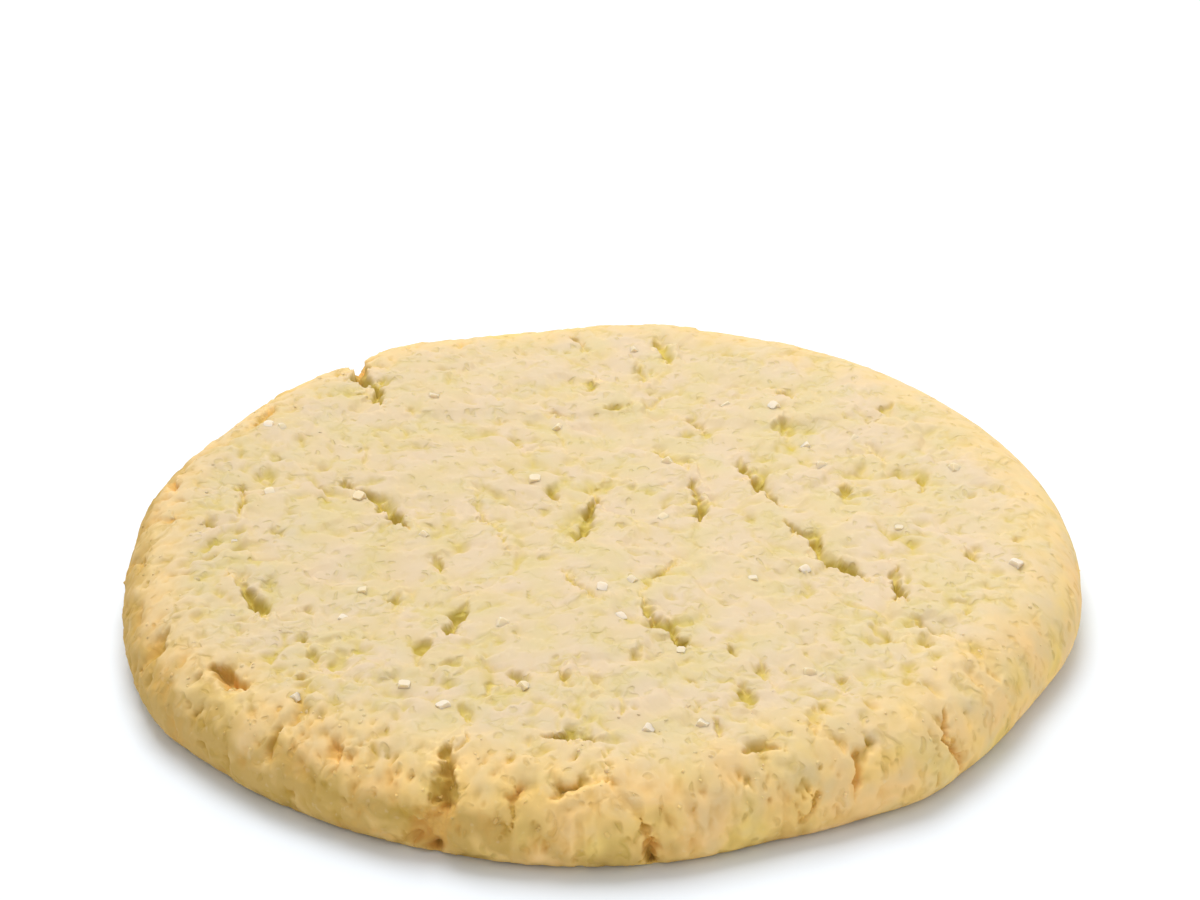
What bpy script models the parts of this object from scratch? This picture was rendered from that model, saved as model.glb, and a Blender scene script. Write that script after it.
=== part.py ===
# Sugar cookie: one baked disc of cracked dough with coarse sugar baked into its top.
# Metres, +Z up. The flat underside lies at z = 0, with the middle of the cookie's box above the origin.
#
# The skin is drawn unrolled first, as (u, v) in millimetres: the distance from (0, 0) is the way along
# the skin from the middle of the top, over the rim and down to the foot. Then it is lifted into place.

import math

import bmesh
import bpy
import numpy as np
from mathutils import Matrix, Vector, noise

MM = 0.001
SEED = 7

# Sizes of the disc, in millimetres.
RADIUS = 45.0
THICKNESS = 9.0
TOP_ROUND = 7.0        # how far inside the rim the top starts to fall
BELLY_HEIGHT = 3.0     # height of the widest ring
FOOT_INSET = 2.1       # how far inside the widest ring the flat underside ends

# Waves round the outline: how many, their height, and the angle of a crest in degrees.
OUTLINE_WAVES = ((2, 0.46, 45), (3, 0.28, -7), (5, 0.22, -10), (6, 0.14, 26))
# Single swellings (+) and flats (-): angle and half width in degrees, and height.
OUTLINE_DENTS = (
    (99, 9, -1.0), (119, 5, 1.0), (150, 10, -0.8), (168, 8, 0.5), (211, 6, 0.5),
    (289, 6, -0.6), (310, 7, 0.9), (333, 9, -0.8),
)

# Cracks and pits on the unrolled skin: half width, depth and path.
# A path that starts on the rim is open there, and every other end closes to a point.
CRACKS = (
    (1.0, 3.4, ((-28, 39), (-26, 35), (-24.6, 30), (-23.3, 27), (-21.9, 21.8))),
    (0.7, 1.8, ((-24.8, 8), (-24.2, 6.2), (-21.6, 4.4), (-19.3, 0.4), (-17.6, -1.9))),
    (0.7, 1.8, ((3.2, -14), (5.1, -17.7), (6.4, -20), (7.5, -23.4))),
    (0.7, 1.7, ((17.4, -0.8), (19.9, -3.5), (20.1, -6.2), (21.9, -8.1), (25, -11.6))),
    (0.6, 1.4, ((13.5, 12.5), (13.6, 9.6), (15.2, 6.6), (16.9, 2.6))),
    (0.5, 1.5, ((9, 7.6), (9.4, 4), (9.7, 2.2), (9, -0.2))),
    (0.5, 1.4, ((-0.1, 5.8), (-0.9, 2.5), (-1.2, -1), (-2.8, -4.8))),
    (0.5, 1.4, ((27.2, -8), (26.9, -11.5), (28, -15))),
    (0.6, 1.3, ((-33.4, -9.8), (-31.9, -12.6), (-30.5, -14.6), (-29.2, -17.4))),
    (0.6, 1.3, ((-11.8, -14), (-13.2, -18.5), (-13.7, -21))),
    (0.9, 2.0, ((-16.5, -47.5), (-14.2, -44), (-13.2, -41), (-12.6, -37))),
    (0.5, 1.4, ((5.2, -50.5), (4.6, -48), (3.4, -45.4))),
    (0.5, 1.0, ((34.6, -35), (31.9, -34.1), (30.3, -33.3), (30.2, -30))),
    (0.6, 1.1, ((23.4, -35.8), (22.8, -38.8), (23.3, -41.2))),
    (0.9, 1.7, ((-33.4, -24), (-32, -26.3), (-30.4, -28.4))),
    (0.7, 1.5, ((-5, -36.8), (-2.6, -36.3), (-0.4, -36.7))),
    (0.8, 1.5, ((-37.6, -17.2), (-39.3, -19.6), (-42, -20.8))),
)
CRACK_WANDER = 0.5      # how far a crack strays from its path
CRACK_WANDER_SIZE = 3.0
CRACK_LEAN = 0.45       # how much wider the slope behind a crack is than the one before it
CRACK_BACK = 60.0       # the direction, in degrees, that counts as behind
CRACK_STEP = 0.16       # how far the front edge stands above the back one
CRACK_SHOULDER = 0.22   # how far the skin sinks towards a crack
SHOULDER_REACH = 0.6
THINNEST = 0.05         # a crack's half width is taken as no less, at its very end

# A low step across the back of the top, where the far side has risen more.
LEDGE_PATH = ((-21, 20), (-8, 20.5), (-5, 19.5), (3, 21), (10, 19), (18, 18), (28, 21))
LEDGE_RISE = 0.35
LEDGE_REACH = 9.0       # distance over which the far side sinks back
LEDGE_SLOPE = 0.5       # half width of the step itself
LEDGE_FADE = 3.0        # half width over which the step dies out at each end

# Unevenness of the skin: size of the swellings and their height.
SWELLS = ((26.0, 0.30), (7.0, 0.22), (2.6, 0.10))

# Mesh: cells across the unrolled skin, and the longest edge that is left whole beside a crack.
CELLS = 46
CRACK_CELL = 0.9
CRACK_PASSES = 2
CRACK_MARGIN = 0.7      # width of the fine cells outside a crack's edge

# Sugar: crystals with cut corners. Some stand out, and the others are spread by the golden angle.
GRAIN_PLACES = (
    (16.9, 21.6), (19.8, 15.2), (-13.8, -32.1), (-26.6, -30.1), (37.9, -8.4), (-0.2, -12.3),
    (-32.9, 18.1), (-23.4, -17.1), (18.4, -9.1), (1.6, -17.3), (-34.3, -3.7), (3.7, -35),
)
GRAIN_COUNT = 24
GRAIN_SIZE = (0.7, 1.05)
GRAIN_SINK = 0.26       # share of a crystal's size by which its middle is below the skin
GRAIN_FIELD = 37.0      # radius of the sugared field
GRAIN_CORNER = 0.22     # share of a crystal's size that its cut corners take
GRAIN_STRAY = (1.5, 0.2)  # how far a spread crystal strays, outwards and in radians round the middle

DOUGH_COLOUR = (0.83, 0.65, 0.37, 1.0)
SUGAR_COLOUR = (0.92, 0.87, 0.80, 1.0)


def quarter_ellipse_length(a, b):
    # Ramanujan's formula for the length of a quarter of an ellipse
    return math.pi / 4 * (3 * (a + b) - math.sqrt((3 * a + b) * (a + 3 * b)))


PLATEAU = RADIUS - TOP_ROUND
BELLY_AT = PLATEAU + quarter_ellipse_length(TOP_ROUND, THICKNESS - BELLY_HEIGHT)
FOOT_AT = BELLY_AT + quarter_ellipse_length(FOOT_INSET, BELLY_HEIGHT)


def smoothstep(low, high, x):
    t = np.clip((x - low) / (high - low), 0.0, 1.0)
    return t * t * (3.0 - 2.0 * t)


def outline_offset(angle):
    # how far the outline is outside (+) or inside (-) the circle, for angles in radians
    offset = np.zeros_like(angle)
    for count, height, crest in OUTLINE_WAVES:
        offset += height * np.cos(count * (angle - math.radians(crest)))
    for centre, half_width, height in OUTLINE_DENTS:
        turn = np.angle(np.exp(1j * (angle - math.radians(centre))))
        offset += height * np.exp(-(turn / math.radians(half_width)) ** 2)
    return offset


def smooth_skin(u, v):
    # the even skin: a point for each (u, v), and the direction in which relief stands out
    along = np.hypot(u, v)
    angle = np.arctan2(v, u)
    upper = np.clip((along - PLATEAU) / (BELLY_AT - PLATEAU), 0.0, 1.0) * math.pi / 2
    lower = np.clip((along - BELLY_AT) / (FOOT_AT - BELLY_AT), 0.0, 1.0) * math.pi / 2
    radius = (np.minimum(along, PLATEAU) + TOP_ROUND * np.sin(upper)
              - FOOT_INSET * (1.0 - np.cos(lower)))
    height = (BELLY_HEIGHT + (THICKNESS - BELLY_HEIGHT) * np.cos(upper)
              - BELLY_HEIGHT * np.sin(lower))
    radius += outline_offset(angle) * (radius / RADIUS) ** 3
    points = np.column_stack((radius * np.cos(angle), radius * np.sin(angle), height))
    outward = np.sin(upper) * (THICKNESS - BELLY_HEIGHT)
    upward = np.cos(upper) * TOP_ROUND
    size = np.hypot(outward, upward)
    directions = np.column_stack((np.cos(angle) * outward / size, np.sin(angle) * outward / size,
                                  upward / size))
    return points, directions


def noise_at(points, size, layer):
    # smooth noise between about -1 and 1; each layer is a field of its own
    shift = Vector((SEED, 13.7 * layer, 5.3 * layer))
    return np.array([noise.noise(Vector(point) / size + shift) for point in points])


def distance_to_path(u, v, path):
    # distance from each (u, v) to the path, the share of the path's length at the nearest point,
    # and how far the point lies behind the path (1) or before it (-1)
    back_u, back_v = math.cos(math.radians(CRACK_BACK)), math.sin(math.radians(CRACK_BACK))
    corners = np.array(path, dtype=float)
    steps = np.diff(corners, axis=0)
    lengths = np.hypot(steps[:, 0], steps[:, 1])
    nearest = np.full(u.shape, np.inf)
    share = np.zeros(u.shape)
    behind = np.zeros(u.shape)
    done = 0.0
    for corner, step, length in zip(corners, steps, lengths):
        t = np.clip(((u - corner[0]) * step[0] + (v - corner[1]) * step[1]) / length ** 2, 0.0, 1.0)
        away_u = u - corner[0] - t * step[0]
        away_v = v - corner[1] - t * step[1]
        distance = np.hypot(away_u, away_v)
        closer = distance < nearest
        nearest = np.where(closer, distance, nearest)
        share = np.where(closer, (done + t * length) / lengths.sum(), share)
        lies = (away_u * back_u + away_v * back_v) / np.maximum(distance, THINNEST)
        behind = np.where(closer, lies, behind)
        done += length
    return nearest, share, behind


def crack_relief(u, v, half_width, depth, path):
    # a groove that slopes down from behind to a sharp, raised edge in front
    distance, share, behind = distance_to_path(u, v, path)
    starts_on_rim = math.hypot(*path[0]) > PLATEAU + 0.5 * TOP_ROUND
    opening = 1.0 - share ** 3
    if not starts_on_rim:
        opening = 1.0 - np.abs(2.0 * share - 1.0) ** 3
    width = np.maximum(half_width * opening * (1.0 + CRACK_LEAN * behind), THINNEST)
    groove = depth * np.sqrt(opening) * (1.0 - smoothstep(0.1, 1.1, distance / width))
    beside = np.exp(-(distance / (half_width + SHOULDER_REACH)) ** 2)
    edge = min(1.0, depth) * opening * (CRACK_STEP * behind + CRACK_SHOULDER) * beside
    return -groove - edge


def ledge_relief(u, v):
    path_u, path_v = np.array(LEDGE_PATH, dtype=float).T
    beyond = v - np.interp(u, path_u, path_v)
    starts = smoothstep(path_u[0] - LEDGE_FADE, path_u[0] + LEDGE_FADE, u)
    ends = smoothstep(path_u[-1] - LEDGE_FADE, path_u[-1] + LEDGE_FADE, u)
    step = smoothstep(-LEDGE_SLOPE, LEDGE_SLOPE, beyond) * np.exp(-np.maximum(beyond, 0.0) / LEDGE_REACH)
    return LEDGE_RISE * starts * (1.0 - ends) * step


def relief(u, v, points):
    height = ledge_relief(u, v)
    for layer, (size, amount) in enumerate(SWELLS):
        height += amount * noise_at(points, size, layer)
    wander_u = u + CRACK_WANDER * noise_at(points, CRACK_WANDER_SIZE, 11)
    wander_v = v + CRACK_WANDER * noise_at(points, CRACK_WANDER_SIZE, 12)
    for half_width, depth, path in CRACKS:
        height += crack_relief(wander_u, wander_v, half_width, depth, path)
    foot_fade = 1.0 - smoothstep(BELLY_AT, FOOT_AT, np.hypot(u, v))
    return height * foot_fade


def unrolled_grid():
    # a square grid drawn out to a disc, so that its cells stay nearly even
    bm = bmesh.new()
    bmesh.ops.create_grid(bm, x_segments=CELLS, y_segments=CELLS, size=1.0)
    for vert in bm.verts:
        x, y, _ = vert.co
        vert.co = (FOOT_AT * x * math.sqrt(1 - y * y / 2), FOOT_AT * y * math.sqrt(1 - x * x / 2), 0.0)
    bmesh.ops.triangulate(bm, faces=bm.faces)
    return bm


def refine_cracks(bm):
    # halve the long edges beside the cracks, pass by pass
    for _ in range(CRACK_PASSES):
        bm.verts.index_update()
        u, v = np.array([vert.co[:2] for vert in bm.verts]).T
        beside = np.zeros(u.shape, dtype=bool)
        for half_width, _, path in CRACKS:
            beside |= distance_to_path(u, v, path)[0] < half_width + CRACK_MARGIN
        coarse = [edge for edge in bm.edges
                  if edge.calc_length() > CRACK_CELL and any(beside[vert.index] for vert in edge.verts)]
        bmesh.ops.subdivide_edges(bm, edges=coarse, cuts=1)
        bmesh.ops.triangulate(bm, faces=bm.faces)
        for vert in bm.verts:
            if vert.is_boundary:
                vert.co *= FOOT_AT / vert.co.length


def lift_skin(bm):
    u, v = np.array([vert.co[:2] for vert in bm.verts]).T
    points, directions = smooth_skin(u, v)
    points += directions * relief(u, v, points)[:, None]
    middle = (points.min(axis=0) + points.max(axis=0)) / 2
    points[:, :2] -= middle[:2]
    for vert, point in zip(bm.verts, points):
        vert.co = Vector(point) * MM
        if vert.is_boundary:
            vert.co.z = 0.0


def make_dough(material):
    bm = unrolled_grid()
    refine_cracks(bm)
    lift_skin(bm)
    rim = [edge for edge in bm.edges if edge.is_boundary]
    bmesh.ops.edgeloop_fill(bm, edges=rim)
    bmesh.ops.triangulate(bm, faces=bm.faces)
    bmesh.ops.recalc_face_normals(bm, faces=bm.faces)
    mesh = bpy.data.meshes.new("cookie")
    bm.to_mesh(mesh)
    bm.free()
    mesh.materials.append(material)
    mesh.shade_smooth()
    cookie = bpy.data.objects.new("cookie", mesh)
    bpy.context.collection.objects.link(cookie)
    return cookie


def surface_below(cookie, x, y):
    _, point, normal, _ = cookie.ray_cast(Vector((x, y, 2 * THICKNESS * MM)), Vector((0, 0, -1)))
    return point, normal


def make_grain(name, size, point, turn, material):
    bm = bmesh.new()
    bmesh.ops.create_cube(bm, size=size * MM)
    bmesh.ops.bevel(bm, geom=bm.verts[:], offset=GRAIN_CORNER * size * MM, affect="VERTICES", segments=1)
    bmesh.ops.transform(bm, matrix=Matrix.Translation(point) @ turn, verts=bm.verts)
    mesh = bpy.data.meshes.new(name)
    bm.to_mesh(mesh)
    bm.free()
    mesh.materials.append(material)
    return bpy.data.objects.new(name, mesh)


def sugar_places(rng):
    places = list(GRAIN_PLACES)
    golden_angle = math.pi * (3 - math.sqrt(5))
    outward, round_middle = GRAIN_STRAY
    for index in range(GRAIN_COUNT):
        radius = GRAIN_FIELD * math.sqrt((index + 0.5) / GRAIN_COUNT) + rng.uniform(-outward, outward)
        angle = index * golden_angle + rng.uniform(-round_middle, round_middle)
        places.append((radius * math.cos(angle), radius * math.sin(angle)))
    return places


def make_sugar(cookie, material):
    rng = np.random.default_rng(SEED)
    sugar = bpy.data.collections.new("sugar")
    bpy.context.scene.collection.children.link(sugar)
    bpy.context.view_layer.update()
    for index, (x, y) in enumerate(sugar_places(rng)):
        size = rng.uniform(*GRAIN_SIZE)
        turn = Matrix.Rotation(rng.uniform(0, math.pi), 4, Vector(rng.normal(size=3)).normalized())
        point, normal = surface_below(cookie, x * MM, y * MM)
        sunk = point - normal * GRAIN_SINK * size * MM
        sugar.objects.link(make_grain(f"grain_{index:02d}", size, sunk, turn, material))
    return sugar


def fuse(cookie, sugar):
    # the crystals become part of the one solid
    union = cookie.modifiers.new("sugar", "BOOLEAN")
    union.operation = "UNION"
    union.operand_type = "COLLECTION"
    union.collection = sugar
    union.solver = "EXACT"
    union.material_mode = "TRANSFER"
    graph = bpy.context.evaluated_depsgraph_get()
    fused = bpy.data.meshes.new_from_object(cookie.evaluated_get(graph))
    cookie.modifiers.remove(union)
    cookie.data = fused
    fused.name = "cookie"
    for grain in list(sugar.objects):
        bpy.data.objects.remove(grain)
    bpy.data.collections.remove(sugar)


def make_material(name, colour, roughness):
    material = bpy.data.materials.new(name)
    material.use_nodes = True
    shader = material.node_tree.nodes["Principled BSDF"]
    shader.inputs["Base Color"].default_value = colour
    shader.inputs["Roughness"].default_value = roughness
    shader.inputs["Metallic"].default_value = 0.0
    return material


def main():
    for existing in list(bpy.data.objects):
        bpy.data.objects.remove(existing)
    dough = make_material("baked_dough", DOUGH_COLOUR, 0.85)
    sugar = make_material("sugar", SUGAR_COLOUR, 0.35)
    cookie = make_dough(dough)
    fuse(cookie, make_sugar(cookie, sugar))


main()
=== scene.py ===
import math
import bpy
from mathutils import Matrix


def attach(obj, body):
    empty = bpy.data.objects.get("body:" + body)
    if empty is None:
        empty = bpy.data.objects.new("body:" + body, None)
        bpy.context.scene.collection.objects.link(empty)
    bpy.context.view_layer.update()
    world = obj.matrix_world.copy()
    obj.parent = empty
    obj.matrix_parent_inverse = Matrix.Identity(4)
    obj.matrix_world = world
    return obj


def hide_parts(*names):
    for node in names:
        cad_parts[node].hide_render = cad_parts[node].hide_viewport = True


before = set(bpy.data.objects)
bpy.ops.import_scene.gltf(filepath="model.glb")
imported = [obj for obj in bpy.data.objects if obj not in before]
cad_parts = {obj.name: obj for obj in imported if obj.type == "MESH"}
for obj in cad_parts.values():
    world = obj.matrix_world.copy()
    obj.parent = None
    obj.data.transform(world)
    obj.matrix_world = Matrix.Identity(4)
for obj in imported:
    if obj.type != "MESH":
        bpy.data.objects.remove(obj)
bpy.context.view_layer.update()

from types import SimpleNamespace

import bmesh
import bpy
import numpy as np
from mathutils import Matrix, Vector, noise
from mathutils.bvhtree import BVHTree

mm = 0.001                 # shapes are given in millimetres, and looks and lamps in metres

# The skin is drawn unrolled, as (u, v): the distance from (0, 0) is the way along the skin from the
# middle of the top, over the rim and down to the foot. A span is where a change starts and where it
# is complete.
disc = {
    "seed": 7,
    "radius": 45.0,
    "thickness": 9.0,
    "topRound": 7.0,       # how far inside the rim the top starts to fall
    "bellyHeight": 3.0,    # height of the widest ring
    "footInset": 2.1,
    # waves round the outline: how many, height, angle of a crest
    "waves": ((2, 0.46, 45), (3, 0.28, -7), (5, 0.22, -10), (6, 0.14, 26)),
    # single swellings and flats: angle, half width, height
    "dents": ((99, 9, -1.0), (119, 5, 1.0), (150, 10, -0.8), (168, 8, 0.5), (211, 6, 0.5),
              (289, 6, -0.6), (310, 7, 0.9), (333, 9, -0.8)),
    "evenInside": 3,       # power by which the outline's unevenness dies out towards the middle
    # swellings of the skin: size, height
    "swells": ((26.0, 0.30), (7.0, 0.24), (2.6, 0.03)),
    "footFade": 1.4,       # how far from the foot the relief starts to die out
    "cells": 256,          # across the unrolled skin
}

# Cracks: half width, depth and path. One that starts on the rim is open there.
cracks = {
    "wander": 0.5,
    "wanderSize": 3.0,
    "fray": 0.5,           # how far the edges of a crack are ragged
    "frayed": (1.4, 0.6),  # sizes of the ragged bits
    "fineShare": 0.6,      # share of the smaller ragged bits
    "usualWidth": 0.9,     # share of the half width
    "raggedWidth": 0.9,    # how much the ragged bits add to it or take away
    "widthLimits": (0.4, 1.3),
    "open": 0.04,          # how much wider a crack opens for each millimetre of its length
    "openLength": 9.0,     # length past which it opens no wider
    "taper": 3,            # power by which it narrows towards its ends
    "beadSize": 1.9,
    "beadSpan": (-0.3, 0.25),
    "shallowest": 0.4,     # share of the depth that is left between two beads
    "wall": (0.05, 1.2),   # span of the wall, in half widths
    "shoulder": 0.22,      # how far the skin sinks towards a crack
    "shoulderReach": 0.6,
    "step": 0.16,          # how far the front edge stands above the back one
    "lean": 0.45,          # how much wider the slope behind a crack is than the one before it
    "back": 60.0,          # the direction, in degrees, that counts as behind
    "thinnest": 0.05,
    "reach": 2.5,          # how far past the half width the relief is worked out
    "fineDepth": 0.75,     # share of their depth that the fine ones reach
    "fullShade": 0.65,     # depth at which a hollow has its full painted shade
    # passes that halve the edges beside a crack: margin, longest edge
    "wideRefine": ((0.6, 0.35), (0.3, 0.22)),
    "fineRefine": ((0.35, 0.35),),
    "wide": (
        (1.3, 3.0, ((-28, 39), (-26, 35), (-24.6, 30), (-23.3, 27), (-21.9, 21.8))),
        (0.7, 1.8, ((-24.8, 8), (-24.2, 6.2), (-21.6, 4.4), (-19.3, 0.4), (-17.6, -1.9))),
        (0.7, 1.8, ((3.2, -14), (5.1, -17.7), (6.4, -20), (7.5, -23.4))),
        (0.7, 1.7, ((17.4, -0.8), (19.9, -3.5), (20.1, -6.2), (21.9, -8.1), (25, -11.6))),
        (0.6, 1.4, ((13.5, 12.5), (13.6, 9.6), (15.2, 6.6), (16.9, 2.6))),
        (0.5, 1.5, ((9, 7.6), (9.4, 4), (9.7, 2.2), (9, -0.2))),
        (0.5, 1.4, ((-0.1, 5.8), (-0.9, 2.5), (-1.2, -1), (-2.8, -4.8))),
        (0.5, 1.4, ((27.2, -8), (26.9, -11.5), (28, -15))),
        (0.6, 1.3, ((-33.4, -9.8), (-31.9, -12.6), (-30.5, -14.6), (-29.2, -17.4))),
        (0.6, 1.3, ((-11.8, -14), (-13.2, -18.5), (-13.7, -21))),
        (1.3, 2.0, ((-16.5, -47.5), (-14.2, -44), (-13.2, -41), (-12.6, -37))),
        (0.5, 1.4, ((5.2, -50.5), (4.6, -48), (3.4, -45.4))),
        (0.5, 1.0, ((34.6, -35), (31.9, -34.1), (30.3, -33.3), (30.2, -30))),
        (0.6, 1.1, ((23.4, -35.8), (22.8, -38.8), (23.3, -41.2))),
        (0.9, 1.7, ((-33.4, -24), (-32, -26.3), (-30.4, -28.4))),
        (0.7, 1.5, ((-5, -36.8), (-2.6, -36.3), (-0.4, -36.7))),
        (0.8, 1.5, ((-37.6, -17.2), (-39.3, -19.6), (-42, -20.8))),
    ),
    "fine": (
        (0.3, 0.7, ((7.7, -5.8), (5.9, -8.7), (4.6, -11), (3.4, -13.4))),
        (0.45, 1.1, ((28.3, -16.6), (29, -18.4), (30.4, -21.4))),
        (0.45, 1.0, ((-15, -21.4), (-15.8, -24), (-16.2, -26.2))),
        (0.35, 0.8, ((-3.6, -9.4), (-2, -12), (0.3, -15.6))),
        (0.3, 0.7, ((5.4, 14.4), (6.6, 11.6), (8.8, 8.4))),
        (0.35, 1.0, ((-4.6, 6.4), (-4.2, 2.8))),
        (0.4, 1.1, ((-34.8, 8), (-34.3, 3.5), (-34.1, -0.6))),
        (0.6, 0.9, ((-37.1, 0.3), (-36.3, -1.8))),
        (0.45, 0.9, ((-42, 10), (-40.2, 5.2))),
        (0.6, 1.2, ((-43.6, -4.4), (-42.8, -6.6))),
        (0.45, 1.1, ((4, 31), (4.4, 27))),
        (0.4, 1.0, ((6.2, 25), (5.5, 23), (4.8, 21.4))),
        (0.7, 0.9, ((0.4, 21.1), (2, 21.5), (3.4, 22.4))),
        (0.6, 1.0, ((5.6, 37.4), (6.3, 34.4), (7, 31))),
        (0.5, 0.9, ((-3, 38), (-1.2, 33.8))),
        (0.5, 0.8, ((-0.6, 28), (-1.4, 25))),
        (0.5, 0.8, ((-4.8, 21.4), (-3.4, 19.4))),
        (0.6, 1.0, ((17.4, 26.4), (18.4, 24.6), (18.9, 22.8))),
        (0.6, 1.2, ((18.5, 19.8), (17.8, 18.4), (17.3, 16.6))),
        (0.7, 0.9, ((28.8, 23), (27.6, 20.4))),
        (0.35, 0.8, ((8.6, 20.2), (9.9, 17.4))),
        (0.7, 1.2, ((23.8, 6.6), (23, 4.8))),
        (0.5, 0.9, ((30.9, 8.4), (30.1, 5.2))),
        (0.4, 0.8, ((26, 14.6), (27.2, 11.4))),
        (0.7, 0.8, ((5.6, 12.4), (7, 11.2))),
        (0.3, 0.6, ((-12.6, 6.4), (-11.6, 3), (-11, 0), (-8, -6))),
        (0.5, 0.8, ((-15.2, -6.4), (-14.6, -8.8))),
        (0.4, 0.9, ((-18.5, -12), (-18.2, -16))),
        (0.5, 0.9, ((11.4, -22), (12, -24.6))),
        (0.7, 0.8, ((2.9, -23), (3.4, -24.8))),
        (0.4, 0.9, ((-26.1, -20.6), (-25.4, -22.6), (-24.4, -25.8))),
        (1.6, 0.6, ((-23.4, -22), (-22.6, -26.6))),
        (0.6, 1.1, ((-3.9, -26), (-3.2, -28), (-2.6, -29.8))),
        (0.5, 0.9, ((-7.4, -26), (-7, -28.6))),
        (0.5, 1.2, ((-4.0, -43), (-1.6, -42.2), (0.6, -41.4))),
        (0.5, 1.2, ((9.6, -34), (9.9, -36), (10, -37.6))),
        (0.6, 1.1, ((12.4, -28.4), (12.9, -31), (13, -33.2))),
        (0.6, 1.0, ((12.2, -39.4), (14, -38.6), (15.6, -38.2))),
        (0.7, 0.9, ((19, -32.8), (18.6, -35))),
        (0.5, 1.0, ((21.7, -26.6), (21, -28), (21.4, -30))),
        (0.5, 0.9, ((32.6, -14.4), (33.6, -15.6), (33.2, -17.6))),
        (0.5, 0.8, ((34, -4.6), (34.6, -8.2))),
        (0.5, 0.7, ((37.9, -2.6), (38.2, -4))),
        (1.3, 0.7, ((31.6, -21.6), (33, -23), (36.2, -25.6))),
        (0.6, 1.1, ((-33.2, 23.4), (-33.8, 20.8), (-35, 17.8))),
        (0.5, 1.3, ((-7, -42.6), (-8.2, -46.4))),
        (0.5, 0.9, ((19.4, -42), (18.8, -46))),
        (0.5, 0.9, ((-22.6, -36.4), (-23.8, -39.4))),
        (0.45, 0.9, ((-27.6, -33), (-29.4, -36))),
        (0.8, 0.6, ((-19, 20.6), (-17.6, 20.2))),
        (0.5, 0.5, ((-23, 14.6), (-23.2, 10.8))),
        (0.4, 0.5, ((-16.4, -0.8), (-15.8, -1.9))),
        (0.35, 0.5, ((-31, -2.1), (-29.8, -2.8))),
        (0.5, 0.35, ((-14, 14.2), (-13.6, 12.2))),
        (0.6, 0.35, ((-7.6, 13.6), (-6.2, 13.2))),
        (0.5, 0.4, ((-4.4, 16.4), (-3.4, 13.6))),
        (0.4, 0.4, ((20.8, 23), (21.8, 22.8))),
        (0.8, 0.7, ((6.4, 11.8), (9.2, 10))),
        (1.2, 0.3, ((1, 8), (2, 6.2))),
        (0.5, 0.45, ((-26.4, -15.4), (-25.2, -16.4))),
        (0.4, 0.6, ((-25.9, -26.6), (-25.6, -28))),
        (0.4, 0.5, ((-31.9, -18.2), (-31.4, -19.9))),
        (0.5, 0.5, ((-13.8, -25.4), (-12, -26.2))),
        (0.7, 0.6, ((-0.8, -26.4), (-0.6, -29.6))),
        (0.4, 0.6, ((-9.4, -28.8), (-10, -31))),
        (0.5, 0.7, ((-11.9, -31.6), (-11.4, -34.6))),
        (0.5, 0.7, ((14.1, -24.6), (14.5, -28))),
        (0.4, 0.5, ((8, -27.6), (8.4, -29.2))),
        (0.35, 0.5, ((26.3, -19.6), (26, -21.8))),
        (0.35, 0.5, ((27.7, -20), (27.4, -23.2))),
        (0.4, 0.6, ((1.5, -31), (1.9, -33.4))),
        (0.4, 0.6, ((8, -31), (8.5, -33.6))),
    ),
}

plateau = disc["radius"] - disc["topRound"]


def quarterEllipse(a, b):
    # the length of a quarter of an ellipse
    return math.pi / 4 * (3 * (a + b) - math.sqrt((3 * a + b) * (a + 3 * b)))


bellyAt = plateau + quarterEllipse(disc["topRound"], disc["thickness"] - disc["bellyHeight"])
footAt = bellyAt + quarterEllipse(disc["footInset"], disc["bellyHeight"])


def smoothstep(low, high, x):
    t = np.clip((x - low) / (high - low), 0.0, 1.0)
    return t * t * (3.0 - 2.0 * t)


def outlineOffset(angle):
    offset = np.zeros_like(angle)
    for count, height, crest in disc["waves"]:
        offset += height * np.cos(count * (angle - math.radians(crest)))
    for centre, halfWidth, height in disc["dents"]:
        turn = np.angle(np.exp(1j * (angle - math.radians(centre))))
        offset += height * np.exp(-(turn / math.radians(halfWidth)) ** 2)
    return offset


def smoothSkin(u, v):
    # a point for each (u, v), and the direction in which relief stands out
    along = np.hypot(u, v)
    angle = np.arctan2(v, u)
    upper = np.clip((along - plateau) / (bellyAt - plateau), 0.0, 1.0) * math.pi / 2
    lower = np.clip((along - bellyAt) / (footAt - bellyAt), 0.0, 1.0) * math.pi / 2
    fall = disc["thickness"] - disc["bellyHeight"]
    radius = np.minimum(along, plateau) + disc["topRound"] * np.sin(upper)
    radius -= disc["footInset"] * (1 - np.cos(lower))
    height = disc["bellyHeight"] + fall * np.cos(upper) - disc["bellyHeight"] * np.sin(lower)
    radius += outlineOffset(angle) * (radius / disc["radius"]) ** disc["evenInside"]
    points = np.column_stack((radius * np.cos(angle), radius * np.sin(angle), height))
    outward = np.sin(upper) * fall
    upward = np.cos(upper) * disc["topRound"]
    size = np.hypot(outward, upward)
    directions = np.column_stack((np.cos(angle) * outward, np.sin(angle) * outward, upward))
    return points, directions / size[:, None]


# A number for each noise, so that no two are alike.
fields = {
    "swells": 0,
    "wander": 11,
    "ragged": 13,
    "beads": 15,
    "grains": 20,
    "warp": 30,
    "flakes": 40,
    "patches": 45,
    "tone": 50,
    "furrows": 60,
}


def fieldShift(field):
    return Vector((disc["seed"], 13.7 * field, 5.3 * field))


def noiseAt(points, size, field):
    shift = fieldShift(field)
    return np.array([noise.noise(Vector(point) / size + shift) for point in points])


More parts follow.
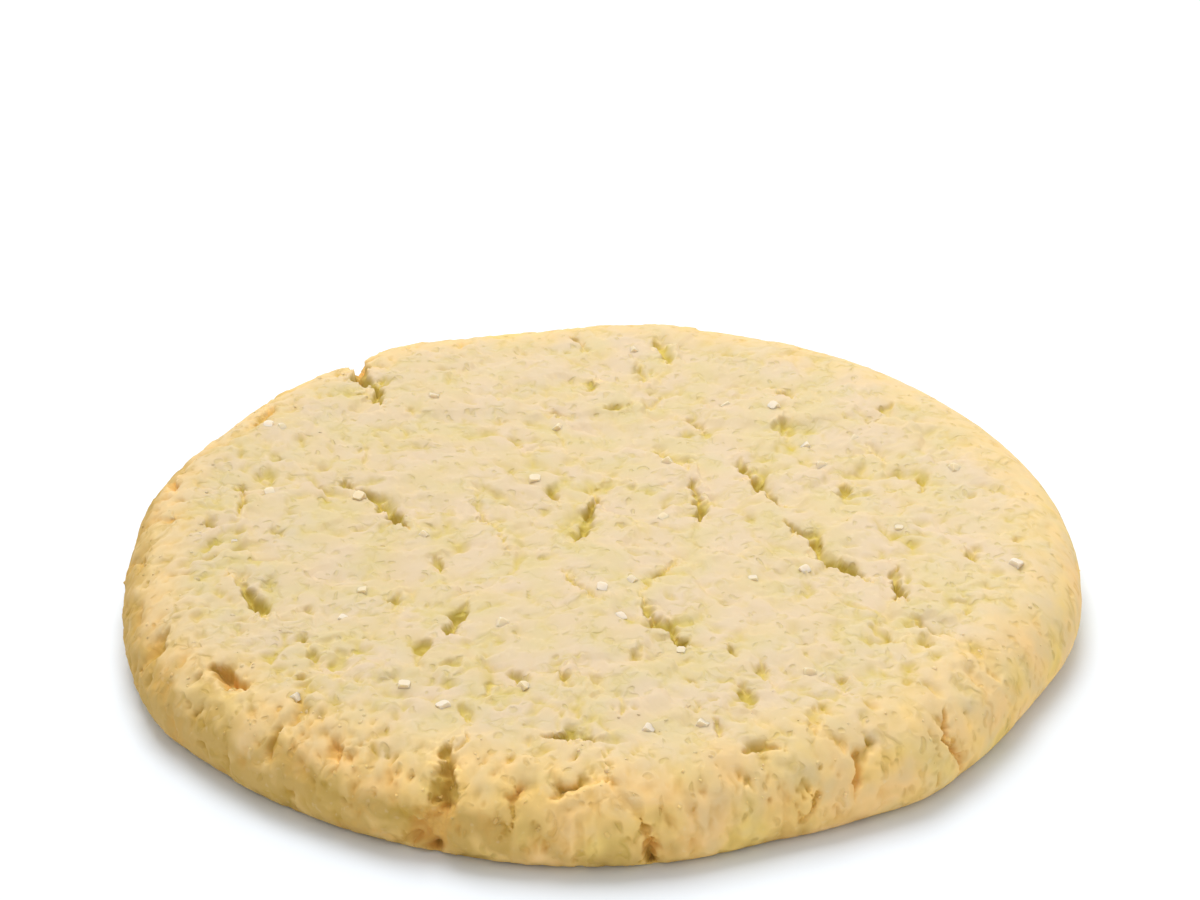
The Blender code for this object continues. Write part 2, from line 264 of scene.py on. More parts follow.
def cellsAt(points, size, field):
    # distances to the two nearest cell centres, in cells, a number from 0 to 1 for each cell, and the
    # way from the cell's centre to the point
    shift = fieldShift(field)
    spread = 9.1           # moves neighbouring centres far enough apart to get numbers of their own
    found = []
    for point in points:
        place = Vector(point) / size + shift
        distances, centres = noise.voronoi(place)
        found.append((distances[0], distances[1], noise.cell(centres[0] * spread), *(place - centres[0])))
    near, far, lot, *way = np.array(found).T
    return near, far, lot, np.column_stack(way) * size


def distanceToPath(u, v, path):
    # distance, share of the path's length at the nearest point, and from 1 behind it to -1 before it
    backU, backV = math.cos(math.radians(cracks["back"])), math.sin(math.radians(cracks["back"]))
    corners = np.array(path, dtype=float)
    steps = np.diff(corners, axis=0)
    lengths = np.hypot(steps[:, 0], steps[:, 1])
    nearest = np.full(u.shape, np.inf)
    share = np.zeros(u.shape)
    behind = np.zeros(u.shape)
    done = 0.0
    for corner, step, length in zip(corners, steps, lengths):
        t = np.clip(((u - corner[0]) * step[0] + (v - corner[1]) * step[1]) / length ** 2, 0.0, 1.0)
        awayU = u - corner[0] - t * step[0]
        awayV = v - corner[1] - t * step[1]
        distance = np.hypot(awayU, awayV)
        closer = distance < nearest
        nearest = np.where(closer, distance, nearest)
        share = np.where(closer, (done + t * length) / lengths.sum(), share)
        lies = (awayU * backU + awayV * backV) / np.maximum(distance, cracks["thinnest"])
        behind = np.where(closer, lies, behind)
        done += length
    return nearest, share, behind


def nearPath(u, v, path, reach):
    lowU, lowV = np.min(path, axis=0) - reach
    highU, highV = np.max(path, axis=0) + reach
    return np.flatnonzero((u > lowU) & (u < highU) & (v > lowV) & (v < highV))


def crackRelief(u, v, halfWidth, depth, path, ragged, beads):
    # a ragged chain of hollows that slope down from behind to a sharp, raised edge in front:
    # the depth of the hollow, and the rise beside it, which is below zero where the skin sinks
    distance, share, behind = distanceToPath(u, v, path)
    length = np.hypot(*np.diff(path, axis=0).T).sum()
    opening = 1.0 - share ** cracks["taper"]
    startsInside = math.hypot(*path[0]) < plateau + 0.5 * disc["topRound"]
    if startsInside:
        opening = 1.0 - np.abs(2.0 * share - 1.0) ** cracks["taper"]
    width = (1.0 + cracks["open"] * min(length, cracks["openLength"])) * halfWidth
    width = width * opening * (1.0 + cracks["lean"] * behind)
    width *= np.clip(cracks["usualWidth"] + cracks["raggedWidth"] * ragged, *cracks["widthLimits"])
    across = distance / np.maximum(width, cracks["thinnest"])
    beaded = cracks["shallowest"] + (1.0 - cracks["shallowest"]) * beads
    groove = depth * np.sqrt(opening) * beaded * (1.0 - smoothstep(*cracks["wall"], across))
    beside = np.exp(-(distance / (halfWidth + cracks["shoulderReach"])) ** 2)
    edge = min(1.0, depth) * opening * (cracks["step"] * behind + cracks["shoulder"]) * beside
    return groove, -edge


# Which sides of the rim are smooth and which are crumbly, and how much of the relief the rim loses.
rim = {
    "span": (36.0, 44.0),
    "smoothSpan": (35.0, 44.0),
    "smoothSide": (0.2, 0.8), # span of the cosine of the angle from the middle of the smooth side
    "smoothTurn": 0.15,    # in radians, how far in front of the right that middle is
    "crumblySpan": (26.0, 42.0),
    "crumblyMiddle": 232,  # in degrees
    "crumblyFall": 0.8,    # power by which it turns smooth towards the other side
    "swellLoss": 0.45,
    "flakeLoss": 0.1,      # for each millimetre of a flake's size
    "calm": 0.55,
    "smoothCalm": 0.65,
}


def crumbliness(u, v):
    # 0 on the smooth right of the rim, 1 on the crumbly front and left of it
    side = 0.5 + 0.5 * np.cos(np.arctan2(v, u) - math.radians(rim["crumblyMiddle"]))
    return smoothstep(*rim["crumblySpan"], np.hypot(u, v)) * (side ** rim["crumblyFall"])


# Small pits at seeded places, thickest on the front and left of the rim.
pits = {
    "count": 640,
    "length": (0.5, 2.4),
    "halfWidth": (0.16, 0.32),
    "depth": (0.2, 0.55),
    "least": 0.12,         # chance of a pit where the skin isn't crumbly
    "stray": 0.4,          # in radians, how far those of the rim turn from upright
    "noneBehind": -25,     # the right of the rim has none behind this v
    "margin": 1,           # how far under the widest ring they reach
}


def scatterPits():
    # on the rim the pits are drawn out from top to bottom
    rng = np.random.default_rng(disc["seed"])
    paths = []
    while len(paths) < pits["count"]:
        place = rng.uniform(-footAt, footAt, 2)
        along = math.hypot(*place)
        if along > bellyAt + pits["margin"]:
            continue
        keep = pits["least"] + (1.0 - pits["least"]) * float(crumbliness(place[0], place[1]))
        smoothSide = place[0] > 0 and along > plateau and place[1] > pits["noneBehind"]
        if smoothSide or rng.random() > keep:
            continue
        heading = rng.uniform(0, math.pi)
        if along > plateau:
            heading = math.atan2(place[1], place[0]) + rng.normal(0, pits["stray"])
        reach = rng.uniform(*pits["length"]) / 2
        step = np.array((math.cos(heading), math.sin(heading))) * reach
        size = rng.random()
        halfWidth = np.interp(size, (0, 1), pits["halfWidth"])
        depth = np.interp(size, (0, 1), pits["depth"])
        paths.append((halfWidth, depth, (tuple(place - step), tuple(place + step))))
    return paths


fineCracks = [(halfWidth, depth * cracks["fineDepth"], path) for halfWidth, depth, path in cracks["fine"]]
allCracks = (*cracks["wide"], *fineCracks, *scatterPits())


ledge = {
    "path": ((-21, 20), (-8, 20.5), (-5, 19.5), (3, 21), (10, 19), (18, 18), (28, 21)),
    "rise": 0.35,
    "reach": 9.0,
    "edge": 0.5,           # half the width of the rise
    "end": 3,              # half the length over which it dies out at either end
}

# Flakes of skin of three sizes: how far they differ in height, how steeply each slopes down towards the
# raised back edge of the next, and the depth and width of the broken creases between them.
flakes = (
    {"size": 6.5, "lot": 0.11, "slope": 0.04, "crease": 0.48, "creaseWidth": 0.38},
    {"size": 2.9, "lot": 0.06, "slope": 0.06, "crease": 0.34, "creaseWidth": 0.30},
    {"size": 1.5, "lot": 0.02, "slope": 0.04, "crease": 0.12, "creaseWidth": 0.24},
)

flakeEdges = {
    "warp": 0.3,           # how far the edges wander, in flakes
    "warpSize": 0.5,       # size of the wandering, in flakes
    "ragged": 0.25,
    "patchSize": 8.0,      # the creases fade in and out in patches of this size
    "patchSpan": (-0.25, 0.2),
    "usual": 0.4,          # share of a crease's depth
    "raggedDepth": 1.5,    # how much the ragged bits add to it or take away
    "deepest": 1.3,
    "narrowest": 0.6,      # share of a crease's width where it is shallow
    "widening": 0.6,       # how much wider it is where it is deep
    "broken": 0.7,         # share of the creases' depth on the smooth skin
    "crumblyGain": 0.5,
    "rimLoss": 0.6,
    "shuffle": 7.31,       # makes a second number from 0 to 1 out of a flake's first
}

crumb = {
    # grains of the skin: size, height
    "grains": ((1.3, 0.015), (0.8, 0.018)),
    "grainMiddle": 0.45,   # of a grain's height, counted as level
    "roughGain": 3.4,      # how much coarser the crumbly side of the rim is
}

# Upright furrows of the rim.
furrows = {
    "depth": 0.22,
    "width": 1.1,
    "squash": 0.28,        # their width over their height
    "span": (0.12, 0.45),
    "least": 0.25,         # share of the depth where the rim isn't crumbly
    "smoothLoss": 0.8,
}


def describeSkin(u, v, points):
    # what the relief depends on: shares from 0 to 1 of rim, smooth side and crumbly side, how much of
    # the fine relief is left, and two fine noises that fray every edge
    along = np.hypot(u, v)
    onRim = smoothstep(*rim["span"], along)
    side = np.cos(np.arctan2(v, u) + rim["smoothTurn"])
    smooth = smoothstep(*rim["smoothSpan"], along) * smoothstep(*rim["smoothSide"], side)
    ragged, fray = (noiseAt(points, size, fields["ragged"] + layer)
                    for layer, size in enumerate(cracks["frayed"]))
    return SimpleNamespace(
        u=u, v=v, points=points, along=along, onRim=onRim, smooth=smooth, crumbly=crumbliness(u, v),
        calm=(1.0 - rim["smoothCalm"] * smooth) * (1.0 - rim["calm"] * onRim), ragged=ragged, fray=fray,
    )


# Each of the next functions changes the height of the skin, and some the depth of its grooves, in place.
def addSwells(skin, height):
    for layer, (size, amount) in enumerate(disc["swells"]):
        swell = noiseAt(skin.points, size, fields["swells"] + layer)
        height += amount * (1.0 - rim["swellLoss"] * skin.onRim) * swell


def addLedge(skin, height):
    # the skin behind the path stands higher, most of all beside it
    pathU, pathV = np.array(ledge["path"], dtype=float).T
    beyond = skin.v - np.interp(skin.u, pathU, pathV)
    end = ledge["end"]
    starts = smoothstep(pathU[0] - end, pathU[0] + end, skin.u)
    stops = 1 - smoothstep(pathU[-1] - end, pathU[-1] + end, skin.u)
    rise = ledge["rise"] * (starts * stops) * smoothstep(-ledge["edge"], ledge["edge"], beyond)
    height += rise * np.exp(-np.maximum(beyond, 0) / ledge["reach"])


def carveCracks(skin, height, grooves):
    beads = smoothstep(*cracks["beadSpan"], noiseAt(skin.points, cracks["beadSize"], fields["beads"]))
    wanderU, wanderV = (cracks["wander"] * noiseAt(skin.points, cracks["wanderSize"], fields["wander"] + axis)
                        for axis in range(2))
    crackU = skin.u + wanderU + cracks["fray"] * (skin.ragged + cracks["fineShare"] * skin.fray)
    crackV = skin.v + wanderV + cracks["fray"] * (cracks["fineShare"] * skin.fray - skin.ragged)
    for halfWidth, depth, path in allCracks:
        near = nearPath(crackU, crackV, path, halfWidth + cracks["reach"])
        groove, rise = crackRelief(crackU[near], crackV[near], halfWidth, depth, path,
                                   skin.ragged[near], beads[near])
        grooves[near] = np.maximum(grooves[near], groove)
        height[near] += rise
    height -= grooves


def layFlakes(skin, height, grooves):
    edges = flakeEdges
    back = math.radians(cracks["back"])
    backward = smoothSkin(skin.u + math.cos(back), skin.v + math.sin(back))[0] - skin.points
    broken = edges["broken"] + edges["crumblyGain"] * skin.crumbly * (1.0 - edges["rimLoss"] * skin.onRim)
    for layer, flake in enumerate(flakes):
        size = flake["size"]
        warp = [noiseAt(skin.points, edges["warpSize"] * size, fields["warp"] + axis) for axis in range(3)]
        warped = skin.points + edges["warp"] * size * np.column_stack(warp)
        warped += edges["ragged"] * np.column_stack((skin.ragged, skin.fray, skin.ragged))
        near, far, lot, way = cellsAt(warped, size, fields["flakes"] + layer)
        inside = (far - near) * size / 2
        steepness = 2.0 * (lot * edges["shuffle"] % 1.0) * flake["slope"]
        tilt = steepness * ((way + skin.points - warped) * backward).sum(axis=1)
        left = skin.calm * (1.0 - rim["flakeLoss"] * size * skin.onRim)
        height += left * (flake["lot"] * (2.0 * lot - 1.0) + tilt)
        patches = noiseAt(skin.points, edges["patchSize"], fields["patches"] + layer)
        hollow = np.clip(edges["usual"] + edges["raggedDepth"] * skin.ragged, 0.0, edges["deepest"])
        hollow = hollow * smoothstep(*edges["patchSpan"], patches)
        width = flake["creaseWidth"] * (edges["narrowest"] + edges["widening"] * hollow)
        crease = flake["crease"] * broken * skin.calm * hollow * (1.0 - smoothstep(0.0, width, inside))
        height -= crease
        grooves += crease


def addGrains(skin, height):
    rough = 1.0 + (crumb["roughGain"] - 1.0) * skin.crumbly
    for layer, (size, amount) in enumerate(crumb["grains"]):
        fromCentre = cellsAt(skin.points, size, fields["grains"] + layer)[0]
        height += amount * rough * skin.calm * (crumb["grainMiddle"] - fromCentre ** 2)


def addFurrows(skin, height, grooves):
    squashed = skin.points * np.array((1.0, 1.0, furrows["squash"]))
    upright = smoothstep(*furrows["span"], noiseAt(squashed, furrows["width"], fields["furrows"]))
    share = furrows["least"] + (1.0 - furrows["least"]) * skin.crumbly
    furrow = furrows["depth"] * upright * skin.onRim * share * (1.0 - furrows["smoothLoss"] * skin.smooth)
    height -= furrow
    grooves += furrow


def reliefOf(u, v, points):
    # how far the skin stands out of its smooth form, and the depth of its grooves
    skin = describeSkin(u, v, points)
    height = np.zeros(u.shape)
    grooves = np.zeros(u.shape)
    addSwells(skin, height)
    addLedge(skin, height)
    carveCracks(skin, height, grooves)
    layFlakes(skin, height, grooves)
    addGrains(skin, height)
    addFurrows(skin, height, grooves)
    footFade = 1.0 - smoothstep(footAt - disc["footFade"], footAt, skin.along)
    return height * footFade, grooves


def squareToDisc(x, y, radius):
    # moves a point of a square, with x and y from -1 to 1, into a disc
    return radius * x * math.sqrt(1 - y * y / 2), radius * y * math.sqrt(1 - x * x / 2)


def unrolledGrid():
    bm = bmesh.new()
    cells = disc["cells"]
    bmesh.ops.create_grid(bm, x_segments=cells, y_segments=cells, size=1.0)
    for vert in bm.verts:
        vert.co = (*squareToDisc(vert.co.x, vert.co.y, footAt), 0.0)
    bmesh.ops.triangulate(bm, faces=bm.faces)
    return bm


def refineCracks(bm, paths, passes):
    # halve the edges along the walls of the cracks, each pass within a narrower margin
    for margin, longest in passes:
        bm.verts.index_update()
        u, v = np.array([vert.co[:2] for vert in bm.verts]).T
        beside = np.zeros(u.shape, dtype=bool)
        for halfWidth, _, path in paths:
            near = nearPath(u, v, path, halfWidth + margin)
            beside[near] |= distanceToPath(u[near], v[near], path)[0] < halfWidth + margin
        coarse = [edge for edge in bm.edges
                  if all(beside[vert.index] for vert in edge.verts) and edge.calc_length() > longest]
        bmesh.ops.subdivide_edges(bm, edges=coarse, cuts=1)
        bmesh.ops.triangulate(bm, faces=[face for face in bm.faces if len(face.verts) > 3])
    for vert in bm.verts:
        if vert.is_boundary:
            vert.co *= footAt / vert.co.length


underside = {
    "cells": 60,
    "margin": 0.6,         # how far inside the foot it ends
    "lift": 0.25,
    "slope": 4,            # width of the slope round the hollow
    "level": 0.4,          # share of the lift between the holes
    "holeSpacing": 2.2,
    "holeReach": 0.45,     # share of the spacing
    "holeGain": 0.9,
    "clearance": 0.02,     # height of its edge
    "tone": 0.85,
}


def addUnderside(bm, middle, toneLayer):
    # a slightly hollow sheet with fine holes, joined to the foot all round
    foot = [edge for edge in bm.edges if edge.is_boundary]
    cells = underside["cells"]
    sheet = bmesh.ops.create_grid(bm, x_segments=cells, y_segments=cells, size=1.0)["verts"]
    reach = disc["radius"] - disc["footInset"] - underside["margin"]
    for vert in sheet:
        x, y = squareToDisc(vert.co.x, vert.co.y, reach)
        out = math.hypot(x, y)
        uneven = float(outlineOffset(np.array([math.atan2(y, x)]))[0])
        grow = 1 + uneven * (out / reach) ** disc["evenInside"] / disc["radius"]
        place = Vector((x * grow, y * grow, 0.0))
        fromHole = noise.voronoi(place / underside["holeSpacing"])[0][0]
        holes = max(0.0, underside["holeReach"] - fromHole) * underside["holeGain"]
        inner = 1 - float(smoothstep(reach - underside["slope"], reach, np.array(out)))
        place.z = underside["lift"] * inner * (underside["level"] + holes) + underside["clearance"]
        vert.co = (place - Vector((middle[0], middle[1], 0.0))) * mm
        vert[toneLayer] = underside["tone"]
    footEdges = set(foot)
    sheetEdge = [edge for edge in bm.edges if edge.is_boundary and edge not in footEdges]
    bmesh.ops.bridge_loops(bm, edges=foot + sheetEdge)


browning = {
    "start": 32,           # way along the skin at which the rim starts to brown
    "leftDelay": 3.5,      # how much later it starts on the left
    "rim": 0.66,
    # the left of the rim is made browner as painted shade of that side
    "leftShadeGain": 1.15,
    # patches, all over and on the rim: size, strength
    "patch": (14.0, 0.07),
    "rimPatches": ((3.5, 0.32), (1.5, 0.28)),
    "darkest": 1.2,
}


def bakedToneAndLeftShade(u, v, points):
    # how far the skin is browned: 0 on the pale top, about 1 at the foot; the extra on the left of the rim is
    # painted shade of that side
    left = (0.5 - 0.5 * np.cos(np.arctan2(v, u))) ** 2
    start = browning["start"] + browning["leftDelay"] * left
    rimTone = smoothstep(start, footAt, np.hypot(u, v)) * (browning["rim"] + browning["leftShadeGain"] * left)
    size, strength = browning["patch"]
    patches = strength * noiseAt(points, size, fields["tone"])
    patches += rimTone * sum(strength * noiseAt(points, size, fields["tone"] + layer)
                             for layer, (size, strength) in enumerate(browning["rimPatches"], start=1))
    return np.clip(rimTone + patches, 0, browning["darkest"])


def finishPiece(bm, name):
    mesh = bpy.data.meshes.new(name)
    bm.to_mesh(mesh)
    bm.free()
    piece = bpy.data.objects.new(name, mesh)
    bpy.context.scene.collection.objects.link(piece)
    return piece


def makeCookieDough():
    bm = unrolledGrid()
    refineCracks(bm, cracks["wide"], cracks["wideRefine"])
    refineCracks(bm, cracks["fine"], cracks["fineRefine"])
    u, v = np.array([vert.co[:2] for vert in bm.verts]).T
    points, directions = smoothSkin(u, v)
    height, grooves = reliefOf(u, v, points)
    points += directions * height[:, None]
    middle = (points.min(axis=0) + points.max(axis=0)) / 2
    for vert, point in zip(bm.verts, points):
        z = 0.0 if vert.is_boundary else point[2]
        vert.co = Vector((point[0] - middle[0], point[1] - middle[1], z)) * mm

    layers = {name: bm.verts.layers.float.new(name) for name in ("crevice", "tone")}
    values = {"crevice": np.clip(grooves / cracks["fullShade"], 0, 1), "tone": bakedToneAndLeftShade(u, v, points)}
    for name, layer in layers.items():
        for vert, value in zip(bm.verts, values[name]):
            vert[layer] = float(value)
    addUnderside(bm, middle, layers["tone"])
    bmesh.ops.recalc_face_normals(bm, faces=bm.faces)
    piece = finishPiece(bm, "cookieDough")
    piece.data.shade_smooth()
    print("cookieDough:", len(piece.data.polygons), "faces")
    return piece, middle


sugar = {
    # crystals that stand out in the photo, then an even spread by the golden angle
    "seen": ((16.9, 21.6), (19.8, 15.2), (-13.8, -32.1), (-26.6, -30.1), (37.9, -8.4), (-0.2, -12.3),
             (-32.9, 18.1), (-23.4, -17.1), (18.4, -9.1), (1.6, -17.3), (-34.3, -3.7), (3.7, -35)),
    "count": 24,
    "field": 37.0,         # radius of the spread
    "strayOut": 1.5,
    "strayRound": 0.2,     # in radians
    "size": (0.7, 1.05),
    "sink": 0.26,          # how far its middle is under the skin, as a share of its edge
    "corner": 0.22,        # share of its edge that each cut corner takes
    "clear": 1.0,          # of those that stand out
    "dulled": (0.0, 0.25, 0.5),
}


def sugarPlaces(rng):
    places = list(sugar["seen"])
    goldenAngle = math.pi * (3 - math.sqrt(5))
    for index in range(sugar["count"]):
        stray = rng.uniform(-sugar["strayOut"], sugar["strayOut"])
        radius = sugar["field"] * math.sqrt((index + 0.5) / sugar["count"]) + stray
        angle = index * goldenAngle + rng.uniform(-sugar["strayRound"], sugar["strayRound"])
        places.append((radius * math.cos(angle), radius * math.sin(angle)))
    return places


def randomTurn(rng):
    return Matrix.Rotation(rng.uniform(0, math.pi), 4, Vector(rng.normal(size=3)).normalized())


def addCrystal(bm, point, normal, size, turn, clear):
    sunk = Matrix.Translation(point - normal * sugar["sink"] * size * mm)
    verts = bmesh.ops.create_cube(bm, size=size * mm, matrix=sunk @ turn)["verts"]
    verts = bmesh.ops.bevel(bm, geom=verts, offset=sugar["corner"] * size * mm, affect="VERTICES",
                            segments=1, profile=0.5, material=-1)["verts"]
    for vert in verts:
        vert[bm.verts.layers.float["clear"]] = clear


def makeSugarCrystals(tree):
    # those that stand out are clear, and the others are dulled by the dough
    bm = bmesh.new()
    bm.verts.layers.float.new("clear")
    rng = np.random.default_rng(disc["seed"])
    for index, (x, y) in enumerate(sugarPlaces(rng)):
        size = rng.uniform(*sugar["size"])
        turn = randomTurn(rng)
        above = Vector((x, y, 2 * disc["thickness"])) * mm
        point, normal, _, _ = tree.ray_cast(above, Vector((0, 0, -1)))
        standsOut = index < len(sugar["seen"])
        clear = sugar["clear"] if standsOut else sugar["dulled"][index % len(sugar["dulled"])]
        addCrystal(bm, point, normal, size, turn, clear)
    piece = finishPiece(bm, "sugarCrystals")
    print("sugarCrystals:", len(piece.data.polygons), "faces")
    return piece


crumbs = {
    "count": 200,
    "radius": (0.14, 0.32),
    "stretch": (0.7, 1.25),
    "sink": 0.45,          # how far the middle is under the skin, as a share of the radius
    "lump": 0.07,          # how uneven they are
    "lumpSize": 0.4,
    "margin": 1.0,         # how far above the widest ring they end
}


def surfacePoint(tree, middle, u, v):
    # where the line into the skin at (u, v) meets the finished surface
    startOutside = 5.0
    base, direction = smoothSkin(np.array([u]), np.array([v]))
    outward = Vector(direction[0])
    start = (Vector(base[0]) - Vector((middle[0], middle[1], 0.0)) + outward * startOutside) * mm
    point, normal, _, _ = tree.ray_cast(start, -outward)
    return point, normal


def makeCrumbs(tree, middle):
    # loose bits, thickest where the rim is crumbly, and more small ones than large ones
    rng = np.random.default_rng(disc["seed"] + 1)
    bm = bmesh.new()
    toneLayer = bm.verts.layers.float.new("tone")
    made = 0
    while made < crumbs["count"]:
        u, v = rng.uniform(-bellyAt, bellyAt, 2)
        tooLow = math.hypot(u, v) > bellyAt - crumbs["margin"]
        if tooLow or rng.random() > float(crumbliness(u, v)) ** 2:
            continue
        point, normal = surfacePoint(tree, middle, u, v)
        if point is None:
            continue
        radius = float(np.interp(rng.random() ** 2, (0, 1), crumbs["radius"]))
        turn = randomTurn(rng)
        stretch = Matrix.Diagonal((*rng.uniform(*crumbs["stretch"], 3), 1.0))
        place = Matrix.Translation(point - normal * crumbs["sink"] * radius * mm)
        verts = bmesh.ops.create_icosphere(bm, subdivisions=1, radius=radius * mm,
                                           matrix=place @ turn @ stretch)["verts"]
        tone = float(bakedToneAndLeftShade(np.array([u]), np.array([v]), np.array([point]) / mm)[0])
        for vert in verts:
            vert[toneLayer] = tone
        made += 1
    bmesh.ops.subdivide_edges(bm, edges=bm.edges, cuts=1, use_grid_fill=True)
    noise.seed_set(disc["seed"])
    for vert in bm.verts:
        vert.co += noise.noise_vector(vert.co / (crumbs["lumpSize"] * mm)) * crumbs["lump"] * mm
    piece = finishPiece(bm, "crumbs")
    piece.data.shade_smooth()
    print("crumbs:", made)
    return piece


def setSocket(tree, socket, value):
    # a value is a number, a colour or another node's output
    if isinstance(value, bpy.types.NodeSocket):
        tree.links.new(value, socket)
    else:
        socket.default_value = value


def addNode(tree, kind, settings=None, **inputs):
    # inputs go by their names, or as i0, i1 and i2 by their order
    node = tree.nodes.new(kind)
    for name, value in (settings or {}).items():
        setattr(node, name, value)
    for name, value in inputs.items():
        byOrder = name[0] == "i" and name[1:].isdigit()
        setSocket(tree, node.inputs[int(name[1:]) if byOrder else name.replace("_", " ")], value)
    return node


def calculate(tree, operation, *values):
    node = addNode(tree, "ShaderNodeMath", {"operation": operation})
    for socket, value in zip(node.inputs, values):
        setSocket(tree, socket, value)
    return node.outputs[0]


def mapRange(tree, value, fromLow, fromHigh, toLow=0.0, toHigh=1.0):
    node = addNode(tree, "ShaderNodeMapRange", Value=value)
    numbers = {"From Min": fromLow, "From Max": fromHigh, "To Min": toLow, "To Max": toHigh}
    for name, number in numbers.items():
        node.inputs[name].default_value = number
    return node.outputs[0]


def mixColour(tree, share, first, second, blend="MIX"):
    node = addNode(tree, "ShaderNodeMix", {"data_type": "RGBA", "blend_type": blend})
    for index, value in ((0, share), (6, first), (7, second)):
        setSocket(tree, node.inputs[index], value)
    return node.outputs[2]


def noiseFac(tree, place, scale, detail):
    return addNode(tree, "ShaderNodeTexNoise", Vector=place, Scale=scale, Detail=detail).outputs["Fac"]


def readAttribute(tree, name):
    return addNode(tree, "ShaderNodeAttribute", {"attribute_name": name}).outputs["Fac"]


def makeGroup(name, inputs, outputs):
    group = bpy.data.node_groups.new(name, "ShaderNodeTree")
    for label, kind, value in inputs:
        socket = group.interface.new_socket(label, in_out="INPUT", socket_type=kind)
        if value is not None:
            socket.default_value = value
    for label, kind in outputs:
        group.interface.new_socket(label, in_out="OUTPUT", socket_type=kind)
    return group, group.nodes.new("NodeGroupInput").outputs, group.nodes.new("NodeGroupOutput").inputs


sand = {
    "scale": 1900.0,
    "roughness": 0.6,
    "fleckScale": 1400.0,
    "fleckSpan": (0.66, 0.76),
}


def makeSandyGrain():
    # fine sandy crumb: a height for the bump, and a mask of pale flecks
    group, given, result = makeGroup(
        "sandyGrain",
        (("Place", "NodeSocketVector", None), ("Scale", "NodeSocketFloat", sand["scale"])),
        (("Height", "NodeSocketFloat"), ("Flecks", "NodeSocketFloat")),
    )
    coarse = addNode(group, "ShaderNodeTexNoise", Vector=given["Place"], Scale=given["Scale"], Detail=1.0,
                     Roughness=sand["roughness"])
    grains = addNode(group, "ShaderNodeTexVoronoi", {"feature": "F1"}, Vector=given["Place"],
                     Scale=given["Scale"])
    lumps = calculate(group, "SUBTRACT", coarse.outputs["Fac"], grains.outputs["Distance"])
    sparse = noiseFac(group, given["Place"], sand["fleckScale"], 1.0)
    group.links.new(lumps, result["Height"])
    group.links.new(mapRange(group, sparse, *sand["fleckSpan"]), result["Flecks"])
    return group


crumbGaps = {
    "warpScale": 900.0,
    "warp": 0.0013,
    "stretch": (1, 1, 0.5),
    "flakeScale": 520.0,
    "lineWidth": 0.20,     # in cells
    "patchScale": 420.0,
    "patchSpan": (0.50, 0.66),
    "holeScale": 850.0,
    "holeShare": 0.5,      # share of the cells that have a hole
    "holeSpan": (0.36, 0.16),
    "depth": 0.00010,
    # strength of the painted shade in the gaps
    "shade": (0.28, 0.62), # how dark they are on the top and at the foot
}


def makeCrumbGaps():
    # creases and holes between small crumbs, 1 where deepest; they dent the bump and are painted as shade in
    # the colour
    look = crumbGaps
    group, given, result = makeGroup(
        "crumbGaps",
        (("Place", "NodeSocketVector", None),),
        (("Gap", "NodeSocketFloat"),),
    )
    shift = addNode(group, "ShaderNodeTexNoise", Vector=given["Place"], Scale=look["warpScale"], Detail=0.0)
    centred = addNode(group, "ShaderNodeVectorMath", {"operation": "SUBTRACT"}, i0=shift.outputs["Color"],
                      i1=(0.5, 0.5, 0.5))
    scaled = addNode(group, "ShaderNodeVectorMath", {"operation": "SCALE"}, i0=centred.outputs[0],
                     Scale=look["warp"])
    warped = addNode(group, "ShaderNodeVectorMath", {"operation": "MULTIPLY_ADD"}, i0=given["Place"],
                     i1=look["stretch"], i2=scaled.outputs[0]).outputs[0]
    edges = addNode(group, "ShaderNodeTexVoronoi", {"feature": "DISTANCE_TO_EDGE"}, Vector=warped,
                    Scale=look["flakeScale"])
    line = mapRange(group, edges.outputs["Distance"], look["lineWidth"], 0.0)
    patch = mapRange(group, noiseFac(group, given["Place"], look["patchScale"], 1.0), *look["patchSpan"])
    crease = calculate(group, "MULTIPLY", line, patch)
    cells = addNode(group, "ShaderNodeTexVoronoi", {"feature": "F1"}, Vector=warped, Scale=look["holeScale"])
    chance = addNode(group, "ShaderNodeSeparateColor", Color=cells.outputs["Color"]).outputs[0]
    chosen = calculate(group, "LESS_THAN", chance, look["holeShare"])
    hole = calculate(group, "MULTIPLY", mapRange(group, cells.outputs["Distance"], *look["holeSpan"]), chosen)
    group.links.new(calculate(group, "MAXIMUM", crease, hole), result["Gap"])
    return group


